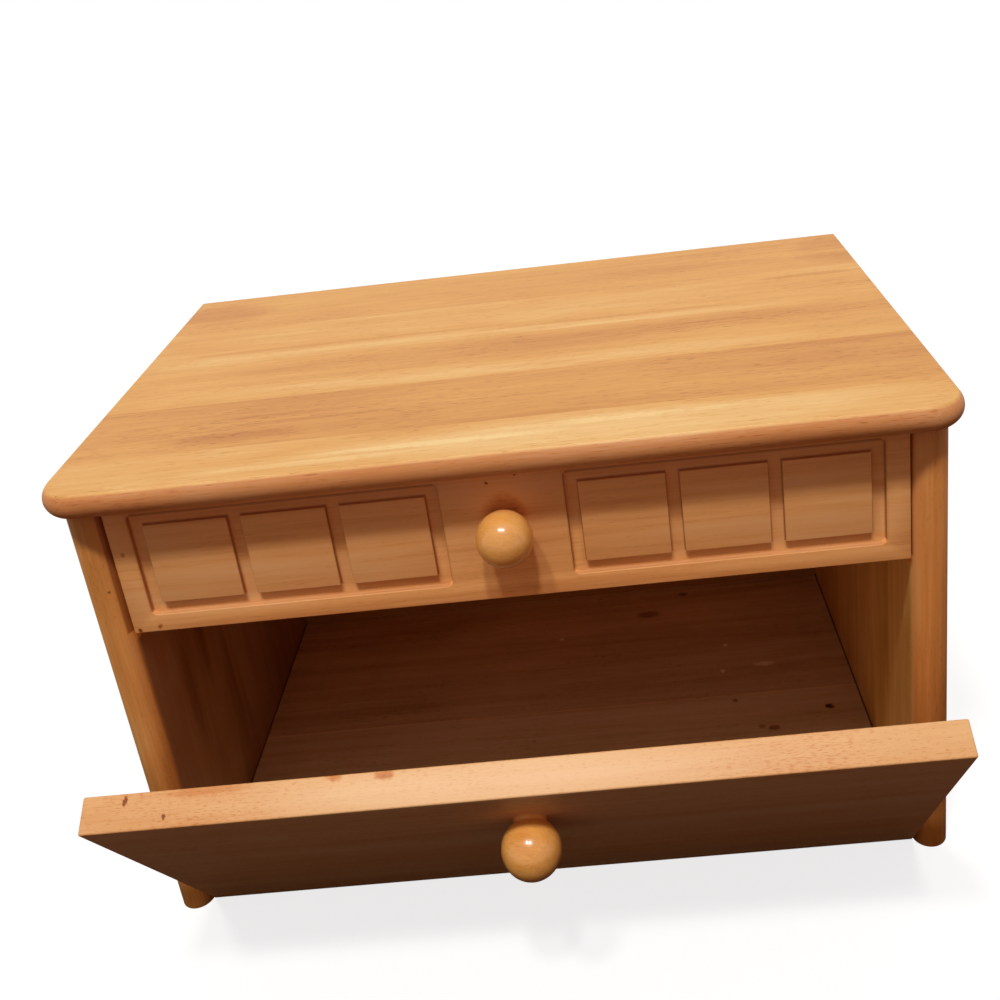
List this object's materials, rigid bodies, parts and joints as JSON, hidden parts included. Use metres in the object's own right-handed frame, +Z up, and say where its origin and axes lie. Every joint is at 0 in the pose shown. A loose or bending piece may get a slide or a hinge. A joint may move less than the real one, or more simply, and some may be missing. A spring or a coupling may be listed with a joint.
{
  "type": "bread box with drawer",
  "caption": "Wooden bread box with a top board, a compartment closed by a fold-down flap, and a drawer with routed squares above it.",
  "frame": {"origin": "on the surface it stands on, under the middle of the case", "axes": "+X to the right seen from the front, +Y from the front to the back, +Z up; the rest pose has the drawer shut and the flap tilted 34.9 degrees forward"},
  "size_m": [0.43, 0.3559, 0.2615],
  "materials": {
    "top_wood": "clear satin lacquer on edge-glued hardwood staves",
    "side_wood": "clear satin lacquer on edge-glued hardwood",
    "front_wood": "clear satin lacquer on solid hardwood",
    "flap_wood": "clear satin lacquer on edge-glued hardwood",
    "shelf_wood": "plain planed hardwood",
    "drawer_wood": "plain planed hardwood",
    "floor_plywood": "lacquered plywood",
    "back_plywood": "lacquered plywood",
    "drawer_plywood": "plain plywood",
    "knob_wood": "glossy lacquer on turned hardwood",
    "dowel_wood": "plain fluted-grade beech",
    "steel": "zinc-plated",
    "magnet": "nickel-plated"
  },
  "bodies": {
    "case": {"top_board": "top_wood", "side_panel_left": "side_wood", "side_panel_right": "side_wood", "floor_panel": "floor_plywood", "back_panel": "back_plywood", "drawer_shelf": "shelf_wood", "catch_magnet": "magnet", "top_dowels": "dowel_wood", "floor_brads": "steel", "back_brads": "steel"},
    "flap": {"flap_door": "flap_wood", "flap_pin_left": "steel", "flap_pin_right": "steel", "flap_knob": "knob_wood", "flap_knob_screw": "steel", "catch_plate": "steel"},
    "drawer": {"drawer_front": "front_wood", "drawer_side_left": "drawer_wood", "drawer_side_right": "drawer_wood", "drawer_back": "drawer_wood", "drawer_bottom": "drawer_plywood", "drawer_dowels": "dowel_wood", "drawer_brads": "steel", "drawer_knob": "knob_wood", "drawer_knob_screw": "steel"}
  },
  "joints": [
    {"name": "flap_hinge", "type": "hinge", "parent": "case", "child": "flap", "pos_m": [0, -0.1229, 0.011], "axis": [1, 0, 0], "range_deg": [-34.9, 44]},
    {"name": "drawer_slide", "type": "slide", "parent": "case", "child": "drawer", "axis": [0, -1, 0], "range_m": [0, 0.18]}
  ]
}
